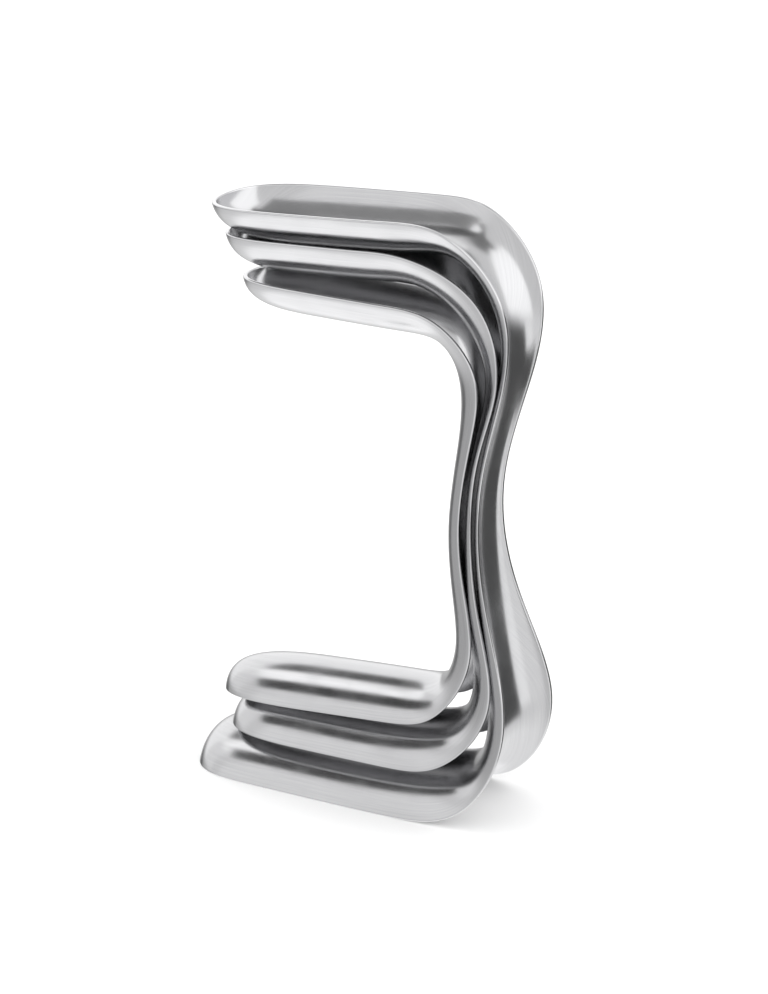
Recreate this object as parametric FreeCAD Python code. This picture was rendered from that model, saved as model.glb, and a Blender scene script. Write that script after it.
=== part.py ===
import FreeCAD, Part
import math
import os

from FreeCAD import Vector

# A nest of three double-ended retracting specula, each pressed from one piece of steel sheet.
# Every one is an open gutter bent into a C: a blade at each end and a waisted grip between.
# The hollow of the gutter faces out of the C, so the smaller ones sit inside the larger one.
# Millimetres. X runs from the mouth of the C back to the grips, Y across, Z up.
# The origin is the middle of the footprint, on the table that the large one stands on.

# Sheet and fits
sheet = 1.3
rim_bevel = 0.38

# The large speculum, as control rows that the smooth skin follows.
# "tip" and "waist" are distances behind the lower tip. A neck's "back" is how far it lies
# behind the waist, a heel's how far behind its neck, and a "bend" is the stretch from the
# straight blade to its heel. "drop" is measured down from the upper rim, "rise" up from
# the lower one, and "fullness" is the gutter's depth as a share of its half width.
large = dict(
    upper_rim=180.0,
    lower_rim=0.0,
    upper_tip=6.2,
    lower_tip=0.0,
    upper_tilt=3.4,
    lower_tilt=0.0,
    upper_dome=21.0,
    lower_dome=16.4,
    upper_bend=19.7,
    upper_heel_back=0.5,
    upper_heel_drop=13.4,
    upper_neck_back=13.4,
    upper_neck_drop=39.5,
    waist=95.0,
    waist_height=104.8,
    lower_neck_back=4.3,
    lower_neck_rise=68.5,
    lower_heel_back=17.1,
    lower_heel_rise=32.5,
    lower_bend=17.9,
    upper_blade_width=37.6,
    upper_heel_width=27.0,
    upper_neck_width=19.2,
    waist_width=14.0,
    lower_neck_width=20.4,
    lower_heel_width=34.6,
    lower_blade_width=43.2,
    upper_fullness=0.67,
    upper_heel_fullness=0.70,
    upper_neck_fullness=0.40,
    waist_fullness=0.40,
    lower_neck_fullness=0.42,
    lower_heel_fullness=0.74,
    lower_fullness=0.61,
)

# How each smaller speculum differs from the one it sits in
medium_change = dict(
    upper_rim=-9.1,
    lower_rim=13.8,
    upper_tip=4.0,
    lower_tip=10.5,
    upper_tilt=-0.7,
    lower_tilt=0.6,
    upper_dome=-3.7,
    lower_dome=4.2,
    upper_bend=5.8,
    upper_heel_back=-5.2,
    upper_heel_drop=-7.2,
    upper_neck_back=0.2,
    upper_neck_drop=-4.8,
    waist=-2.4,
    waist_height=5.3,
    lower_neck_back=-0.85,
    lower_neck_rise=-16.2,
    lower_heel_back=-2.9,
    lower_heel_rise=-7.4,
    lower_bend=2.2,
    upper_blade_width=-6.2,
    upper_heel_width=-1.6,
    upper_neck_width=-1.6,
    waist_width=-0.8,
    lower_neck_width=-0.8,
    lower_heel_width=-4.4,
    lower_blade_width=-7.1,
    upper_fullness=0.10,
    upper_heel_fullness=0.50,
    upper_neck_fullness=0.31,
    waist_fullness=0.04,
    lower_neck_fullness=0.14,
    lower_heel_fullness=0.02,
    lower_fullness=0.05,
)

small_change = dict(
    upper_rim=-13.1,
    lower_rim=9.5,
    upper_tip=5.2,
    lower_tip=-3.7,
    upper_tilt=-3.5,
    lower_tilt=3.4,
    upper_dome=-1.3,
    lower_dome=2.8,
    upper_bend=-9.4,
    upper_heel_back=10.3,
    upper_heel_drop=11.0,
    upper_neck_back=-6.5,
    upper_neck_drop=3.1,
    waist=-4.85,
    waist_height=-21.4,
    lower_neck_back=4.5,
    lower_neck_rise=-12.9,
    lower_heel_back=-11.3,
    lower_heel_rise=-0.5,
    lower_bend=-7.1,
    upper_blade_width=-5.2,
    upper_heel_width=-2.9,
    upper_neck_width=-1.0,
    waist_width=-0.4,
    lower_neck_width=-0.8,
    lower_heel_width=-3.1,
    lower_blade_width=-6.3,
    upper_fullness=0.0,
    upper_heel_fullness=-0.10,
    upper_neck_fullness=0.01,
    waist_fullness=0.38,
    lower_neck_fullness=0.36,
    lower_heel_fullness=0.02,
    lower_fullness=0.10,
)

# Shape of the gutter's cross-section and of the closed tips
section_half_angle = math.radians(72.0)
tip_breadth = 0.57
dome_crown = 0.5
dome_run = 1.6
blade_share = 0.65

# The smooth surfaces are cubic, and are cut into faces at these spans between control rows
degree = 3
blade_rows = 6
stretch_ends = (0, 3, 5, 7, 9, 11, 14)


def changed(size, change):
    return {name: size[name] + change[name] for name in size}


def section_shape():
    """Control points of a round gutter, from rim to rim, for half width 1 and depth 1."""
    half = section_half_angle
    turn = 2 * half
    start = (-math.sin(half), math.cos(half))
    leg = turn / 12
    second = (start[0] + leg * math.cos(half), start[1] + leg * math.sin(half))
    swell = 3 / (2 + math.cos(turn / 4))
    points = [start, second]
    for share in (0.25, 0.5, 0.75):
        angle = -half + share * turn
        points.append((swell * math.sin(angle), swell * math.cos(angle)))
    points.append((-second[0], second[1]))
    points.append((-start[0], start[1]))
    across = math.sin(half)
    floor = math.cos(half)
    return [(y / across, (z - floor) / (1 - floor)) for y, z in points]


def control_rows(size):
    """Rows along the rim line: distance back, height, half width and depth."""
    top = size["upper_rim"]
    bottom = size["lower_rim"]
    climb = math.tan(math.radians(size["upper_tilt"]))
    lower_climb = math.tan(math.radians(size["lower_tilt"]))

    def upper(back):
        return (back, top + climb * (back - size["upper_tip"]))

    def lower(back):
        return (back, bottom + lower_climb * (back - size["lower_tip"]))

    def between(shoulder, end):
        return shoulder + blade_share * (end - shoulder)

    upper_neck = size["waist"] + size["upper_neck_back"]
    upper_heel = upper_neck + size["upper_heel_back"]
    upper_end = upper_heel - size["upper_bend"]
    lower_neck = size["waist"] + size["lower_neck_back"]
    lower_heel = lower_neck + size["lower_heel_back"]
    lower_end = lower_heel - size["lower_bend"]
    upper_shoulder = size["upper_tip"] + dome_run * size["upper_dome"]
    lower_shoulder = size["lower_tip"] + dome_run * size["lower_dome"]
    places = [
        upper(size["upper_tip"]),
        upper(size["upper_tip"]),
        upper(size["upper_tip"] + dome_crown * size["upper_dome"]),
        upper(upper_shoulder),
        upper(between(upper_shoulder, upper_end)),
        upper(upper_end),
        (upper_heel, top - size["upper_heel_drop"]),
        (upper_neck, top - size["upper_neck_drop"]),
        (size["waist"], size["waist_height"]),
        (lower_neck, bottom + size["lower_neck_rise"]),
        (lower_heel, bottom + size["lower_heel_rise"]),
        lower(lower_end),
        lower(between(lower_shoulder, lower_end)),
        lower(lower_shoulder),
        lower(size["lower_tip"] + dome_crown * size["lower_dome"]),
        lower(size["lower_tip"]),
        lower(size["lower_tip"]),
    ]
    blade = size["upper_blade_width"] / 2
    heel = size["upper_heel_width"] / 2
    low_blade = size["lower_blade_width"] / 2
    low_heel = size["lower_heel_width"] / 2
    halves = [0.0, tip_breadth * blade, blade, blade, blade, (blade + heel) / 2, heel]
    halves += [size["upper_neck_width"] / 2, size["waist_width"] / 2, size["lower_neck_width"] / 2]
    halves += [low_heel, (low_blade + low_heel) / 2, low_blade, low_blade, low_blade]
    halves += [tip_breadth * low_blade, 0.0]
    grip = ("upper_heel", "upper_neck", "waist", "lower_neck", "lower_heel")
    fullness = [size["upper_fullness"]] * blade_rows
    fullness += [size[place + "_fullness"] for place in grip]
    fullness += [size["lower_fullness"]] * blade_rows
    rows = []
    for place, half, share in zip(places, halves, fullness):
        rows.append((place[0], place[1], half, half * share))
    return rows


def row_normals(rows):
    """Unit vectors from the rim line into the C, one for each row; a straight blade has one."""
    normals = []
    last = len(rows) - 1
    for index in range(len(rows)):
        if index < blade_rows:
            before, after = rows[1], rows[blade_rows - 1]
        elif index > last - blade_rows:
            before, after = rows[last - blade_rows + 1], rows[last - 1]
        else:
            before, after = rows[index - 1], rows[index + 1]
        along = Vector(after[0] - before[0], 0, after[1] - before[1])
        along.normalize()
        normals.append(Vector(along.z, 0, -along.x))
    return normals


def knots_for(count):
    """Clamped, evenly spaced knots and their multiplicities."""
    spans = count - degree
    return [i / spans for i in range(spans + 1)], [degree + 1] + [1] * (spans - 1) + [degree + 1]


def smooth_faces(net):
    """Faces of the smooth surface that a control net pulls, cut into stretches along the spine."""
    along_knots, along_mults = knots_for(len(net))
    across_degree = min(degree, len(net[0]) - 1)
    spans = len(net[0]) - across_degree
    across_knots = [i / spans for i in range(spans + 1)]
    across_mults = [across_degree + 1] + [1] * (spans - 1) + [across_degree + 1]
    faces = []
    for start, end in zip(stretch_ends, stretch_ends[1:]):
        skin = Part.BSplineSurface()
        skin.buildFromPolesMultsKnots(
            net, along_mults, across_mults, along_knots, across_knots, False, False, degree, across_degree
        )
        skin.segment(start / stretch_ends[-1], end / stretch_ends[-1], 0.0, 1.0)
        face = skin.toShape()
        if skin.isPlanar():
            outline = [edge.Curve.toShape(edge.FirstParameter, edge.LastParameter) for edge in face.Edges]
            face = Part.Face(Part.Wire(outline))
        faces.append(face)
    return faces


def skin_net(rows, inset):
    """Control net of a skin; inset is how far it lies inside the outer one."""
    normals = row_normals(rows)
    shape = section_shape()
    last = len(rows) - 1
    net = []
    for index, (row, normal) in enumerate(zip(rows, normals)):
        back, height, half, depth = row
        base = Vector(back, 0, height)
        if index < 2 or index > last - 2:
            side = Vector(-normal.z, 0, normal.x)
            if index < 2:
                base = base + side * inset
            else:
                base = base - side * inset
        half = max(half - inset, 0.0)
        depth = max(depth - inset, 0.0)
        net.append([base + Vector(0, half * y, 0) + normal * (depth * z) for y, z in shape])
    return net


def rim_nets(outer, inner, normals, column):
    """Control nets of one rim: a bevel on each skin, with a flat land between."""
    outer_bevel = []
    land = []
    inner_bevel = []
    for index in range(len(outer)):
        edge = outer[index][column]
        hollow_edge = inner[index][column]
        outwards = edge - hollow_edge
        outwards.normalize()
        rise = normals[index] * -1
        land_outer = edge + (rise - outwards) * rim_bevel
        land_inner = hollow_edge + (rise + outwards) * rim_bevel
        outer_bevel.append([edge, land_outer])
        land.append([land_outer, land_inner])
        inner_bevel.append([land_inner, hollow_edge])
    return [outer_bevel, land, inner_bevel]


def speculum(size):
    """One double-ended speculum: two skins, joined along each side by a rim with a flat land."""
    rows = control_rows(size)
    normals = row_normals(rows)
    outer = skin_net(rows, 0.0)
    inner = skin_net(rows, sheet)
    nets = [outer, inner]
    nets += rim_nets(outer, inner, normals, 0)
    nets += rim_nets(outer, inner, normals, -1)
    faces = []
    for net in nets:
        faces += smooth_faces(net)
    shell = Part.makeShell(faces)
    shell.sewShape()
    solid = Part.makeSolid(shell.Shells[0] if shell.Shells else shell)
    if solid.Volume < 0:
        solid.reverse()
    return solid


def nest():
    """The three specula by name, in place, with the origin under the middle of the large one."""
    medium = changed(large, medium_change)
    small = changed(medium, small_change)
    outermost = speculum(large)
    table = large["lower_rim"] - rim_bevel
    pieces = {
        "large_speculum": outermost,
        "medium_speculum": speculum(medium),
        "small_speculum": speculum(small),
    }
    footprint = outermost.optimalBoundingBox(False, False)
    move = Vector(-(footprint.XMin + footprint.XMax) / 2, 0, -table)
    for piece in pieces.values():
        piece.translate(move)
    return pieces


os.makedirs("parts", exist_ok=True)
for name, piece in nest().items():
    piece.exportStep(os.path.join("parts", name + ".step"))
    print(name, "volume", round(piece.Volume, 1), "faces", len(piece.Faces))
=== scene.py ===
# %% [markdown]
# # A nest of three double-ended specula in stainless steel
# The real thing is a set of three retractors, each pressed from one piece of surgical
# stainless sheet: a rounded trough at each end and a slim grip between them.
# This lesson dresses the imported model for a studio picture. The model is loaded first
# and stays as it is: every piece made here has the size and the place that it gives.

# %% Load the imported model
import bpy
import bmesh
import math
import numpy as np
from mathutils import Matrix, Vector


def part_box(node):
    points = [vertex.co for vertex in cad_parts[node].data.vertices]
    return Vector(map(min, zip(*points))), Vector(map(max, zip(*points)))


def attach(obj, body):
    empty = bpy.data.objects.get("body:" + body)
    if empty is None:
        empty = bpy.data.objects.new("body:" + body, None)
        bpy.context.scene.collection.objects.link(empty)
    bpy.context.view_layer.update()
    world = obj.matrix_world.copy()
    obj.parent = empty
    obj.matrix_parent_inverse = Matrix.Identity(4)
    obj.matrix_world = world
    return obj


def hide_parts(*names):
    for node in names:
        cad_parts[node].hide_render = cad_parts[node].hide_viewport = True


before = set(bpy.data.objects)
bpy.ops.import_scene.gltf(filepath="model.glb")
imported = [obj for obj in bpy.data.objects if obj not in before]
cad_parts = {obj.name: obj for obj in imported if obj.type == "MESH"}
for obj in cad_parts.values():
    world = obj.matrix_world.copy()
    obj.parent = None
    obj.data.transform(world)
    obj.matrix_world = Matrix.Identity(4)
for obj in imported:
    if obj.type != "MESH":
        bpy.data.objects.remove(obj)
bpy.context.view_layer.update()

# %% [markdown]
# ## The camera comes first
# The set is seen from its side, a little from above and a little from behind the grips,
# with a long lens, so the parallel blades stay nearly parallel. The place is worked out
# from two angles and a distance round a point near the middle of the nest. The plain view
# transform keeps white board white, as in a catalogue picture.

# %% Camera
MM = 0.001
camera_turn = math.radians(29.47)
camera_rise = math.radians(19.73)
camera_distance = 1028.7 * MM
camera_target = Vector((5.99 * MM, 0.0, 93.94 * MM))
camera_lens = 124.27
sensor = 36.0

away = Vector((
    math.sin(camera_turn) * math.cos(camera_rise),
    -math.cos(camera_turn) * math.cos(camera_rise),
    math.sin(camera_rise),
))
camera_data = bpy.data.cameras.new("studio_camera")
camera_data.lens = camera_lens
camera_data.sensor_width = sensor
camera = bpy.data.objects.new("studio_camera", camera_data)
camera.location = camera_target + away * camera_distance
camera.rotation_mode = "QUATERNION"
camera.rotation_quaternion = (-away).to_track_quat("-Z", "Y")
bpy.context.scene.collection.objects.link(camera)
bpy.context.scene.camera = camera
bpy.context.scene.view_settings.view_transform = "Standard"
print("camera at", [round(value, 4) for value in camera.location])

# %% [markdown]
# ## Sizes of the three specula
# The steel is drawn again here as a fine, even mesh, because polished metal shows every
# facet of a mesh made for measuring. Both follow the same sizes: control rows along the
# rim, each with its distance back from the mouth of the C, its height, width and depth.
# The large one is written out, and each smaller one is the change from its neighbour.
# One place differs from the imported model: the lower heels of the large and the medium one,
# and the bends in front of them, are deeper here, because the picture shows hardly any
# table between those heels.

# %% Driving sizes, in millimetres
sheet = 1.3
rim_round = 0.38
large = dict(
    upper_rim=180.0, lower_rim=0.0, upper_tip=6.2, lower_tip=0.0,
    upper_tilt=3.4, lower_tilt=0.0, upper_dome=21.0, lower_dome=16.4,
    upper_bend=19.7, upper_heel_back=0.5, upper_heel_drop=13.4,
    upper_neck_back=13.4, upper_neck_drop=39.5, waist=95.0, waist_height=104.8,
    lower_neck_back=4.3, lower_neck_rise=68.5,
    lower_heel_back=17.1, lower_heel_rise=32.5, lower_bend=17.9,
    upper_blade_width=37.6, upper_heel_width=27.0, upper_neck_width=19.2,
    waist_width=14.0, lower_neck_width=20.4, lower_heel_width=34.6, lower_blade_width=43.2,
    upper_fullness=0.67, upper_heel_fullness=0.70, upper_neck_fullness=0.40,
    waist_fullness=0.40, lower_neck_fullness=0.42, lower_heel_fullness=0.85,
    lower_bend_fullness=0.82, lower_fullness=0.61,
)
medium_change = dict(
    upper_rim=-9.1, lower_rim=13.8, upper_tip=4.0, lower_tip=10.5,
    upper_tilt=-0.7, lower_tilt=0.6, upper_dome=-3.7, lower_dome=4.2,
    upper_bend=5.8, upper_heel_back=-5.2, upper_heel_drop=-7.2,
    upper_neck_back=0.2, upper_neck_drop=-4.8, waist=-2.4, waist_height=5.3,
    lower_neck_back=-0.85, lower_neck_rise=-16.2,
    lower_heel_back=-2.9, lower_heel_rise=-7.4, lower_bend=2.2,
    upper_blade_width=-6.2, upper_heel_width=-1.6, upper_neck_width=-1.6,
    waist_width=-0.8, lower_neck_width=-0.8, lower_heel_width=-4.4, lower_blade_width=-7.1,
    upper_fullness=0.10, upper_heel_fullness=0.50, upper_neck_fullness=0.31,
    waist_fullness=0.04, lower_neck_fullness=0.14, lower_heel_fullness=0.08,
    lower_bend_fullness=0.08, lower_fullness=0.05,
)
small_change = dict(
    upper_rim=-13.1, lower_rim=9.5, upper_tip=5.2, lower_tip=-3.7,
    upper_tilt=-3.5, lower_tilt=3.4, upper_dome=-1.3, lower_dome=2.8,
    upper_bend=-9.4, upper_heel_back=10.3, upper_heel_drop=11.0,
    upper_neck_back=-6.5, upper_neck_drop=3.1, waist=-4.85, waist_height=-21.4,
    lower_neck_back=4.5, lower_neck_rise=-12.9,
    lower_heel_back=-11.3, lower_heel_rise=-0.5, lower_bend=-7.1,
    upper_blade_width=-5.2, upper_heel_width=-2.9, upper_neck_width=-1.0,
    waist_width=-0.4, lower_neck_width=-0.8, lower_heel_width=-3.1, lower_blade_width=-6.3,
    upper_fullness=0.0, upper_heel_fullness=-0.10, upper_neck_fullness=0.01,
    waist_fullness=0.38, lower_neck_fullness=0.36, lower_heel_fullness=-0.15,
    lower_bend_fullness=-0.14, lower_fullness=0.10,
)


def changed(size, change):
    return {name: size[name] + change[name] for name in size}


medium = changed(large, medium_change)
small = changed(medium, small_change)
print("sizes per speculum", len(large))

# %% [markdown]
# ## The gutter's section
# Across the blade the sheet is a round gutter, a little less than half a turn. Seven
# control points pull a cubic curve of four spans into that arc. They are worked out once,
# for a gutter of half width 1 and depth 1, and every row stretches them to its own width
# and depth.

# %% Section of the gutter
section_half_angle = math.radians(72.0)
points_across = 7
arc_spans = 4


def section_shape():
    half = section_half_angle
    turn = 2 * half
    span = turn / arc_spans
    leg = span / 3
    start = np.array([-math.sin(half), math.cos(half)])
    second = start + leg * np.array([math.cos(half), math.sin(half)])
    swell = 3 / (2 + math.cos(span))
    angles = [-half + step * span for step in range(1, arc_spans)]
    middle = [swell * np.array([math.sin(angle), math.cos(angle)]) for angle in angles]
    mirror = np.array([-1.0, 1.0])
    shape = np.array([start, second, *middle, second * mirror, start * mirror])
    return (shape - [0.0, math.cos(half)]) / [math.sin(half), 1 - math.cos(half)]


section = section_shape()
print("section from", section[0].round(3), "to", section[-1].round(3))

# %% [markdown]
# ## Control rows along the C
# Walking from the upper tip round to the lower one there are seventeen rows: six for each
# blade, whose rim is straight, and five for heel, neck, waist, neck and heel of the grip.
# The first two rows sit on one spot and grow from nothing, which closes the tip in a dome.
# The lower blade's row next to the heel has a depth of its own, for the bend.

# %% Rows
tip_breadth = 0.57
dome_crown = 0.5
dome_run = 1.6
blade_share = 0.65
blade_rows = 6


def blade_places(tip, dome, end, rim, tilt):
    shoulder = tip + dome_run * dome
    backs = [tip, tip, tip + dome_crown * dome, shoulder]
    backs += [shoulder + blade_share * (end - shoulder), end]
    climb = math.tan(math.radians(tilt))
    return [(back, rim + climb * (back - tip)) for back in backs]


def control_rows(size):
    """Places of the rows along the rim line, with their half widths and depths."""
    s = size
    top = s["upper_rim"]
    low = s["lower_rim"]
    upper_neck = s["waist"] + s["upper_neck_back"]
    upper_heel = upper_neck + s["upper_heel_back"]
    lower_neck = s["waist"] + s["lower_neck_back"]
    lower_heel = lower_neck + s["lower_heel_back"]
    upper_end = upper_heel - s["upper_bend"]
    lower_end = lower_heel - s["lower_bend"]
    upper = blade_places(s["upper_tip"], s["upper_dome"], upper_end, top, s["upper_tilt"])
    lower = blade_places(s["lower_tip"], s["lower_dome"], lower_end, low, s["lower_tilt"])
    grip = [
        (upper_heel, top - s["upper_heel_drop"]),
        (upper_neck, top - s["upper_neck_drop"]),
        (s["waist"], s["waist_height"]),
        (lower_neck, low + s["lower_neck_rise"]),
        (lower_heel, low + s["lower_heel_rise"]),
    ]
    widths = ["upper_blade", "upper_heel", "upper_neck", "waist"]
    widths += ["lower_neck", "lower_heel", "lower_blade"]
    blade, heel, neck, waist, low_neck, low_heel, low_blade = [s[w + "_width"] / 2 for w in widths]
    halves = [0.0, tip_breadth * blade, blade, blade, blade, (blade + heel) / 2]
    halves += [heel, neck, waist, low_neck, low_heel]
    halves += [(low_blade + low_heel) / 2, low_blade, low_blade, low_blade]
    halves += [tip_breadth * low_blade, 0.0]
    fullness = [s["upper_fullness"]] * blade_rows
    fullness += [s[place + "_fullness"] for place in widths[1:-1]]
    fullness += [s["lower_bend_fullness"]] + [s["lower_fullness"]] * (blade_rows - 1)
    halves = np.array(halves)
    return np.array(upper + grip + lower[::-1]), halves, halves * np.array(fullness)


def row_normals(places):
    """Unit vectors from the rim line into the C; a straight blade has one for all its rows."""
    last = len(places) - 1
    normals = []
    for index in range(last + 1):
        before, after = index - 1, index + 1
        if index < blade_rows:
            before, after = 1, blade_rows - 1
        elif index > last - blade_rows:
            before, after = last - blade_rows + 1, last - 1
        along = places[after] - places[before]
        along = along / np.linalg.norm(along)
        normals.append((along[1], 0.0, -along[0]))
    return np.array(normals)


rows_of_large = control_rows(large)[0]
print("rows", len(rows_of_large), "first", rows_of_large[0], "waist", rows_of_large[8])

# %% [markdown]
# ## From control rows to a smooth skin
# A cubic B-spline blends each point of the surface from sixteen nearby control points, so
# the steel flows from blade to grip without a crease. The blending weights come from the
# usual recursion, and two small matrix products then give the whole grid at once.

# %% Spline weights and skins
degree = 3
just_below_one = 1 - 1e-12


def spline_weights(count, places, order):
    """Weights of the control points, for every place from 0 to 1 along a clamped spline."""
    spans = count - order
    knots = np.concatenate([np.zeros(order), np.linspace(0, 1, spans + 1), np.ones(order)])
    places = np.asarray(places, dtype=float)
    inside = np.clip(places, 0, just_below_one)
    weights = np.array([(knots[i] <= inside) & (inside < knots[i + 1]) for i in range(len(knots) - 1)])
    weights = weights.astype(float)
    for level in range(1, order + 1):
        raised = []
        for i in range(len(knots) - level - 1):
            rise = knots[i + level] - knots[i]
            fall = knots[i + level + 1] - knots[i + 1]
            blend = np.zeros_like(places)
            if rise > 0:
                blend = blend + (inside - knots[i]) / rise * weights[i]
            if fall > 0:
                blend = blend + (knots[i + level + 1] - inside) / fall * weights[i + 1]
            raised.append(blend)
        weights = np.array(raised)
    return weights.T


def skin_net(size, inset):
    """Control points of one skin; inset is how far it lies inside the outer one."""
    places, halves, depths = control_rows(size)
    normals = row_normals(places)
    base = np.stack([places[:, 0], np.zeros(len(places)), places[:, 1]], axis=1)
    side = np.stack([-normals[:, 2], np.zeros(len(places)), normals[:, 0]], axis=1)
    base[:2] += side[:2] * inset
    base[-2:] -= side[-2:] * inset
    halves = np.maximum(halves - inset, 0.0)
    depths = np.maximum(depths - inset, 0.0)
    net = np.repeat(base[:, None, :], points_across, axis=1)
    net[:, :, 1] += halves[:, None] * section[None, :, 0]
    net += normals[:, None, :] * (depths[:, None] * section[None, :, 1])[:, :, None]
    return net, normals


weights = spline_weights(points_across, [0.0, 0.5, 1.0], degree)
print("weights at the rim and the keel", weights[0].round(3), weights[1].round(3))

# %% [markdown]
# ## A closed shell with rounded rims
# Each speculum is one grid: across the outer skin, over the rounded rim, back across the
# hollow skin and over the other rim. The rims of real ones are ground and buffed so that
# they can't cut, so each corner here is a quarter turn, with a narrow flat land between.

# %% Build one speculum's shell
spans_along = 14
steps_per_span = 16
grid_steps_along = spans_along * steps_per_span
grid_steps_across = 40
rim_steps = 5
edge_support = 0.004
inner_places = np.linspace(0, 1, grid_steps_across + 1)[1:-1]
across_places = [0.0, edge_support, *inner_places, 1 - edge_support, 1.0]


def rim_points(edge, hollow_edge, normals):
    """Columns of points over one rim, from the outer skin's edge to the hollow skin's edge."""
    outwards = edge - hollow_edge
    outwards = outwards / np.linalg.norm(outwards, axis=1)[:, None]
    rise = -normals / np.linalg.norm(normals, axis=1)[:, None]
    columns = []
    for step in range(1, rim_steps + 1):
        turn = math.pi / 2 * step / rim_steps
        move = rise * math.sin(turn) - outwards * (1 - math.cos(turn))
        columns.append(edge + rim_round * move)
    for step in range(rim_steps + 1):
        turn = math.pi / 2 * (1 - step / rim_steps)
        move = rise * math.sin(turn) + outwards * (1 - math.cos(turn))
        columns.append(hollow_edge + rim_round * move)
    return columns[:-1]


def shell_columns(size):
    """Columns of points round the section, and the finish that each strip of faces takes."""
    outer_net, normals = skin_net(size, 0.0)
    hollow_net, normals = skin_net(size, sheet)
    along = spline_weights(len(outer_net), np.linspace(0, 1, grid_steps_along + 1), degree)
    across = spline_weights(points_across, across_places, degree)
    outer = np.einsum("ui,ijk,vj->vuk", along, outer_net, across)
    hollow = np.einsum("ui,ijk,vj->vuk", along, hollow_net, across)
    facing = along @ normals
    right = rim_points(outer[-1], hollow[-1], facing)
    left = rim_points(outer[0], hollow[0], facing)[::-1]
    columns = [*outer, *right, *hollow[::-1], *left]
    skin = [0] * (len(across_places) - 1)
    rim = [1] * (len(right) + 1)
    return np.array(columns), skin + rim + skin + rim


columns = shell_columns(large)[0]
print("grid", columns.shape[:2], "lowest point", columns[:, :, 2].min().round(3), "mm")

# %% [markdown]
# ## From points to a mesh
# The grid wraps round on itself and shrinks to a point at each tip, where the doubled
# points are merged. The rows count from the large one's lower tip, so they are moved along
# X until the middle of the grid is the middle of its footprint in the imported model. They
# are lifted by the rims' rounding, which then rests on the table.

# %% Mesh from the grid
box_low, box_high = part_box("large_speculum")
grid_middle = (columns[:, :, 0].min() + columns[:, :, 0].max()) / 2
shift = np.array([(box_low[0] + box_high[0]) / 2 / MM - grid_middle, 0.0, rim_round])
merge_distance = 1e-7


def arc_lengths(points, axis):
    """Running length along one direction of the grid, in millimetres."""
    steps = np.linalg.norm(np.diff(points, axis=axis), axis=2)
    zero = np.zeros_like(steps[:1] if axis == 0 else steps[:, :1])
    return np.concatenate([zero, np.cumsum(steps, axis=axis)], axis=axis)


def sheet_mesh(name, size, finish_materials):
    columns, finishes = shell_columns(size)
    rounds, lengths = columns.shape[:2]
    places = (columns + shift) * MM
    along = arc_lengths(columns, 1)
    middle = np.median(along, axis=0)
    girth = arc_lengths(np.concatenate([columns, columns[:1]]), 0)
    mesh_builder = bmesh.new()
    uv_layer = mesh_builder.loops.layers.uv.new("length_and_girth_mm")
    points = [[mesh_builder.verts.new(place) for place in column] for column in places]
    for i in range(rounds):
        following = (i + 1) % rounds
        for j in range(lengths - 1):
            corners = [points[i][j], points[following][j]]
            corners += [points[following][j + 1], points[i][j + 1]]
            face = mesh_builder.faces.new(corners)
            face.smooth = True
            face.material_index = finishes[i]
            spots = [(j, i), (j, i + 1), (j + 1, i + 1), (j + 1, i)]
            for loop, (row, column) in zip(face.loops, spots):
                loop[uv_layer].uv = (middle[row], girth[column, row])
    bmesh.ops.remove_doubles(mesh_builder, verts=mesh_builder.verts, dist=merge_distance)
    bmesh.ops.recalc_face_normals(mesh_builder, faces=mesh_builder.faces)
    mesh = bpy.data.meshes.new(name)
    mesh_builder.to_mesh(mesh)
    mesh_builder.free()
    for material in finish_materials:
        mesh.materials.append(material)
    piece = bpy.data.objects.new(name, mesh)
    bpy.context.scene.collection.objects.link(piece)
    return piece


print("rows are moved by", shift.round(3), "mm")

# %% [markdown]
# ## Colour and nodes
# Colours are written as the hex values that a colour picker shows and are turned to the
# linear values that Blender works in. One helper adds a node, sets it and links it. The
# mix node has sockets of the same name for each kind of data, so its colour sockets are
# picked by number.

# %% Helpers for materials
mix_start = 6
mix_end = 7
mix_result = 2


def linear(hex_colour):
    values = [int(hex_colour[i:i + 2], 16) / 255 for i in (1, 3, 5)]
    return [v / 12.92 if v <= 0.04045 else ((v + 0.055) / 1.055) ** 2.4 for v in values] + [1.0]


def add_node(tree, kind, settings=None, values=None, links=None):
    """A node of one kind: settings are its properties, values its sockets, links what feeds them."""
    node = tree.nodes.new(kind)
    for name, value in (settings or {}).items():
        setattr(node, name, value)
    for name, value in (values or {}).items():
        node.inputs[name].default_value = value
    for name, source in (links or {}).items():
        tree.links.new(source, node.inputs[name])
    return node


def new_material(name):
    material = bpy.data.materials.new(name)
    material.use_nodes = True
    material.node_tree.nodes.clear()
    return material, material.node_tree


print("steel grey in linear light", [round(v, 3) for v in linear("#CBCBCC")])

# %% [markdown]
# ## Buffed stainless steel
# The sheet is martensitic stainless steel, pressed, ground and then buffed on soft wheels
# to a satin mirror. It reflects softly, with three small flaws that make it steel and not
# chrome: fine buffing lines along the blade, a slow waviness left by the press, and cloudy
# patches where the wheel took off a little more or less. The rims are ground finer and so
# are sharper; their lighter tone is a painted highlight along the rim lines.

# %% Material: buffed sheet
buffed_colour = "#CBCBCC"
buffed_dark = "#B9B9BB"
buffed_roughness = 0.21
buffed_spread = 0.04
buffed_line_height_mm = 0.0015
# The rims' lighter tone below is a painted highlight for the bright lines along them; their lower
# roughness is the finer grinding.
ground_rim_highlight_colour = "#D6D6D7"
ground_rim_highlight_dark = "#C4C4C6"
ground_roughness = 0.16
ground_spread = 0.03
ground_line_height_mm = 0.001
line_spacing_mm = 0.45
line_length_mm = 30.0
line_detail = 3.0
line_fineness = 0.6
wave_mm = 28.0
wave_height_mm = 0.05
wave_detail = 1.0
cloud_mm = 9.0
cloud_detail = 4.0
cloud_low = 0.3
cloud_high = 0.7


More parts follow.
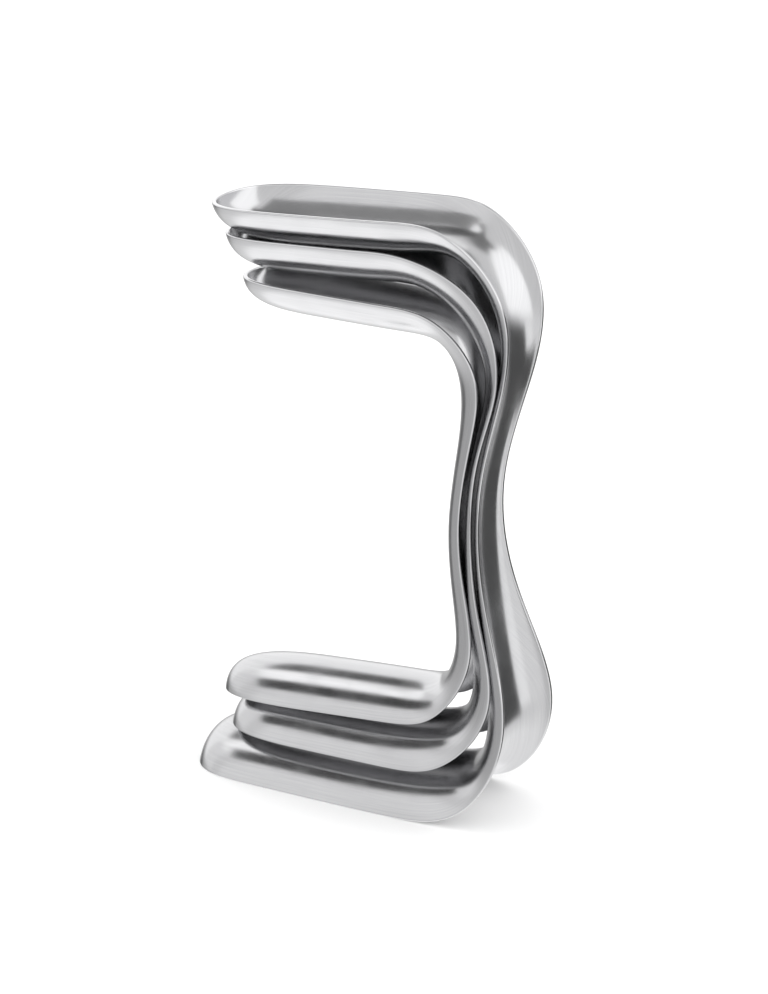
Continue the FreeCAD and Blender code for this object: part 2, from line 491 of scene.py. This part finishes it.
def scaled_length(tree, across_mm, along_mm):
    """Length and girth of the sheet, divided so that one unit is one grain of the pattern."""
    place = add_node(tree, "ShaderNodeUVMap", {"uv_map": "length_and_girth_mm"})
    return add_node(
        tree, "ShaderNodeMapping", {"vector_type": "POINT"},
        {"Scale": (1 / along_mm, 1 / across_mm, 1.0)}, {"Vector": place.outputs["UV"]},
    ).outputs["Vector"]


def steel_material(name, colour, dark, roughness, spread, line_height_mm):
    material, tree = new_material(name)
    grain = add_node(
        tree, "ShaderNodeTexNoise", None,
        {"Scale": 1.0, "Detail": line_detail, "Roughness": line_fineness},
        {"Vector": scaled_length(tree, line_spacing_mm, line_length_mm)},
    )
    place = add_node(tree, "ShaderNodeTexCoord")
    waves = add_node(
        tree, "ShaderNodeTexNoise", None, {"Scale": 1 / (wave_mm * MM), "Detail": wave_detail},
        {"Vector": place.outputs["Object"]},
    )
    clouds = add_node(
        tree, "ShaderNodeTexNoise", None, {"Scale": 1 / (cloud_mm * MM), "Detail": cloud_detail},
        {"Vector": place.outputs["Object"]},
    )
    shine = add_node(
        tree, "ShaderNodeMapRange", None,
        {
            "From Min": cloud_low, "From Max": cloud_high,
            "To Min": roughness - spread, "To Max": roughness + spread,
        },
        {"Value": clouds.outputs["Fac"]},
    )
    tone = add_node(
        tree, "ShaderNodeMix", {"data_type": "RGBA"}, None, {"Factor": grain.outputs["Fac"]},
    )
    tone.inputs[mix_start].default_value = linear(dark)
    tone.inputs[mix_end].default_value = linear(colour)
    wavy = add_node(
        tree, "ShaderNodeBump", None, {"Strength": 1.0, "Distance": wave_height_mm * MM},
        {"Height": waves.outputs["Fac"]},
    )
    lined = add_node(
        tree, "ShaderNodeBump", None, {"Strength": 1.0, "Distance": line_height_mm * MM},
        {"Height": grain.outputs["Fac"], "Normal": wavy.outputs["Normal"]},
    )
    shader = add_node(
        tree, "ShaderNodeBsdfPrincipled", None, {"Metallic": 1.0},
        {
            "Base Color": tone.outputs[mix_result],
            "Roughness": shine.outputs["Result"],
            "Normal": lined.outputs["Normal"],
        },
    )
    add_node(tree, "ShaderNodeOutputMaterial", None, None, {"Surface": shader.outputs["BSDF"]})
    return material


buffed_sheet = steel_material(
    "buffed_stainless_sheet", buffed_colour, buffed_dark,
    buffed_roughness, buffed_spread, buffed_line_height_mm,
)
# The rims take a lighter copy of the steel, a painted highlight; only its lower roughness is real
# finish.
ground_rim_painted_highlight = steel_material(
    "ground_stainless_rim_painted_highlight", ground_rim_highlight_colour, ground_rim_highlight_dark,
    ground_roughness, ground_spread, ground_line_height_mm,
)
print("materials", buffed_sheet.name, ground_rim_painted_highlight.name)

# %% [markdown]
# ## The three specula
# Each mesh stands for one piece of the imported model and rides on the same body, so that
# the medium and the small one draw out of the nest as they do on the bench.

# %% Place the specula
specula = {"large": large, "medium": medium, "small": small}
for body, size in specula.items():
    piece = sheet_mesh(body + "_pressed_steel", size, [buffed_sheet, ground_rim_painted_highlight])
    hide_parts(body + "_speculum")
    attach(piece, body)
    print(piece.name, "faces", len(piece.data.polygons))

# %% [markdown]
# ## A white table
# The set stands on matt white board. A very wide lamp overhead lights it and throws hardly
# any shadow. Neither the board nor that lamp shows in the steel: what the steel sees is
# the tent of the next step, so that each can be set without spoiling the other.

# %% Floor and its lamp
floor_size = 6.0
board_colour = "#F2F2F2"
board_roughness = 0.9
floor_material, tree = new_material("matt_white_board")
shader = add_node(
    tree, "ShaderNodeBsdfPrincipled", None,
    {"Base Color": linear(board_colour), "Roughness": board_roughness},
)
add_node(tree, "ShaderNodeOutputMaterial", None, None, {"Surface": shader.outputs["BSDF"]})
half_floor = floor_size / 2
floor_mesh = bpy.data.meshes.new("floor")
floor_corners = [(-half_floor, -half_floor, 0), (half_floor, -half_floor, 0)]
floor_corners += [(half_floor, half_floor, 0), (-half_floor, half_floor, 0)]
floor_mesh.from_pydata(floor_corners, [], [(0, 1, 2, 3)])
floor_mesh.materials.append(floor_material)
floor = bpy.data.objects.new("floor", floor_mesh)
floor.visible_glossy = False
bpy.context.scene.collection.objects.link(floor)

table_lamp_strength = 1.3
table_lamp_spread = math.radians(150)
table_lamp_data = bpy.data.lights.new("table_lamp", "SUN")
table_lamp_data.energy = table_lamp_strength
table_lamp_data.angle = table_lamp_spread
table_lamp = bpy.data.objects.new("table_lamp", table_lamp_data)
table_lamp.visible_glossy = False
bpy.context.scene.collection.objects.link(table_lamp)
print("floor side", floor_size, "m, lamp", table_lamp_strength, "W per square metre")

# %% [markdown]
# ## A light tent with panels
# Shiny metal shows its surroundings more than itself, so its look is mostly a matter of
# what hangs round it. Bright panels stand at the right and at the back left, grey ones
# fill in between, and the roof is dim. One dark flag high at the left and two low ones
# draw the dark bands that give polished steel its form. All are soft-edged patches of one
# sky. Turns are counted in degrees from the minus Y side, positive towards plus X, and
# heights from the horizon. The bare tent is a list of heights with their brightness. Each
# panel has its first and last turn, its lowest and highest edge, and its brightness, and
# covers the ones that come before it. Brightness is a share of the tent's strength.

# %% Light tent
tent_strength = 1.9
tent_by_height = [
    (-90, 0.68), (-58, 0.68), (-36, 0.5), (-28, 0.31), (-4, 0.31),
    (4, 0.5), (54, 0.52), (64, 0.16), (90, 0.13),
]
panel_edge = 7.0
tent_panels = {
    "front_roof_fill": (-28, 105, 46, 100, 0.52),
    "front_low_fill": (-60, 25, -45, 2, 0.45),
    "right_low_fill": (25, 112, -38, 2, 0.6),
    "right_low_glow": (68, 102, -34, -5, 0.72),
    "right_softbox": (62, 140, 2, 68, 0.9),
    "back_left_softbox": (-160, -93, 3, 46, 0.74),
    "roof_flag": (-128, -97, 46, 75, 0.05),
    "left_fill": (-93, -66, 4, 45, 0.6),
    "left_bright_strip": (-93, -50, 42, 76, 0.9),
    "front_left_fill": (-50, -24, 4, 60, 0.6),
    "left_low_flag": (-122, -98, -27, -6, 0.1),
    "back_right_flag": (97, 160, -40, -4, 0.06),
    "left_low_glow": (-140, -40, -75, -48, 0.84),
}


def number_node(tree, operation, *sources):
    """One step of arithmetic; its sources are plain numbers or the outputs of other nodes."""
    node = add_node(tree, "ShaderNodeMath", {"operation": operation})
    for socket, source in zip(node.inputs, sources):
        if isinstance(source, (int, float)):
            socket.default_value = source
        else:
            tree.links.new(source, socket)
    return node.outputs["Value"]


def soft_step(tree, value, start, end):
    """A smooth change from 0 to 1 while a value goes from start to end."""
    return add_node(
        tree, "ShaderNodeMapRange", {"interpolation_type": "SMOOTHSTEP"},
        {"From Min": start, "From Max": end}, {"Value": value},
    ).outputs["Result"]


def soft_window(tree, value, low, high):
    """1 while a value is between low and high, and 0 outside, with soft edges."""
    half_edge = panel_edge / 2
    opens = soft_step(tree, value, low - half_edge, low + half_edge)
    closes = soft_step(tree, value, high - half_edge, high + half_edge)
    return number_node(tree, "MULTIPLY", opens, number_node(tree, "SUBTRACT", 1.0, closes))


def tent_wall(tree, height):
    """The tent without its panels: brightness from the nadir to the zenith."""
    share = add_node(
        tree, "ShaderNodeMapRange", None, {"From Min": -90.0, "From Max": 90.0}, {"Value": height},
    )
    wall = add_node(tree, "ShaderNodeValToRGB", None, None, {"Fac": share.outputs["Result"]})
    ramp = wall.color_ramp
    while len(ramp.elements) < len(tent_by_height):
        ramp.elements.new(0.5)
    for element, (degrees, brightness) in zip(ramp.elements, tent_by_height):
        element.position = (degrees + 90) / 180
        element.color = (brightness, brightness, brightness, 1.0)
    return wall.outputs["Color"]


def add_panel(tree, light, turn, height, panel):
    """The tent's light with one soft-edged panel hung in it."""
    turn_low, turn_high, height_low, height_high, brightness = panel
    across = soft_window(tree, turn, turn_low, turn_high)
    up = soft_window(tree, height, height_low, height_high)
    mask = number_node(tree, "MULTIPLY", across, up)
    mixed = add_node(tree, "ShaderNodeMix", {"data_type": "RGBA"}, None, {"Factor": mask})
    tree.links.new(light, mixed.inputs[mix_start])
    mixed.inputs[mix_end].default_value = (brightness, brightness, brightness, 1.0)
    return mixed.outputs[mix_result]


world = bpy.data.worlds.new("light_tent")
world.use_nodes = True
bpy.context.scene.world = world
tree = world.node_tree
tree.nodes.clear()
direction = add_node(tree, "ShaderNodeTexCoord")
parts = add_node(tree, "ShaderNodeSeparateXYZ", None, None, {"Vector": direction.outputs["Generated"]})
towards_front = number_node(tree, "MULTIPLY", parts.outputs["Y"], -1.0)
turn = number_node(tree, "DEGREES", number_node(tree, "ARCTAN2", parts.outputs["X"], towards_front))
height = number_node(tree, "DEGREES", number_node(tree, "ARCSINE", parts.outputs["Z"]))
light = tent_wall(tree, height)
for panel in tent_panels.values():
    light = add_panel(tree, light, turn, height, panel)
glow = add_node(tree, "ShaderNodeBackground", None, {"Strength": tent_strength}, {"Color": light})
add_node(tree, "ShaderNodeOutputWorld", None, None, {"Surface": glow.outputs["Background"]})
print("tent panels", len(tent_panels))

# %% [markdown]
# ## Cards near the steel
# The tent is the same seen from every piece. What should show in one place alone is a
# card hung close to it: a grey one over the upper blades, a black one in front of the
# lower blades and above them, and a black one beside the neck. Each has a corner, the two
# edges that leave it, in millimetres, and a brightness. Only reflections see the cards, so
# they need no stands and throw no shadow.

# %% Cards
first_shader = 1
second_shader = 2
cards = {
    "grey_card_over_blades": ((-140, -62, 301), (115, 0, 0), (0, 78, 0), 0.36),
    "black_card_over_lower_blades": ((-104, -63, 75), (150, 0, 0), (0, 26, 15), 0.06),
    "black_card_by_neck": ((126, -64, 68), (-4, 154, 0), (0, 0, 50), 0.12),
}


def hang_card(name, corner, side, rise, brightness):
    """A flat card from one corner and two edges, in millimetres; from behind it isn't seen."""
    material, tree = new_material(name)
    shine = add_node(tree, "ShaderNodeEmission", None, {"Strength": brightness})
    clear = add_node(tree, "ShaderNodeBsdfTransparent")
    faces = add_node(tree, "ShaderNodeNewGeometry")
    surface = add_node(tree, "ShaderNodeMixShader", None, None, {"Fac": faces.outputs["Backfacing"]})
    tree.links.new(shine.outputs["Emission"], surface.inputs[first_shader])
    tree.links.new(clear.outputs["BSDF"], surface.inputs[second_shader])
    add_node(tree, "ShaderNodeOutputMaterial", None, None, {"Surface": surface.outputs["Shader"]})
    start, across, up = [Vector(part) * MM for part in (corner, side, rise)]
    corners = [start, start + up, start + up + across, start + across]
    mesh = bpy.data.meshes.new(name)
    mesh.from_pydata(corners, [], [(0, 1, 2, 3)])
    mesh.materials.append(material)
    card = bpy.data.objects.new(name, mesh)
    card.visible_camera = False
    card.visible_diffuse = False
    card.visible_shadow = False
    bpy.context.scene.collection.objects.link(card)
    mesh.update()
    print(name, "faces", [round(value, 2) for value in mesh.polygons[0].normal])


for name, (corner, side, rise, brightness) in cards.items():
    hang_card(name, corner, side, rise, brightness)
print("cards", len(cards))
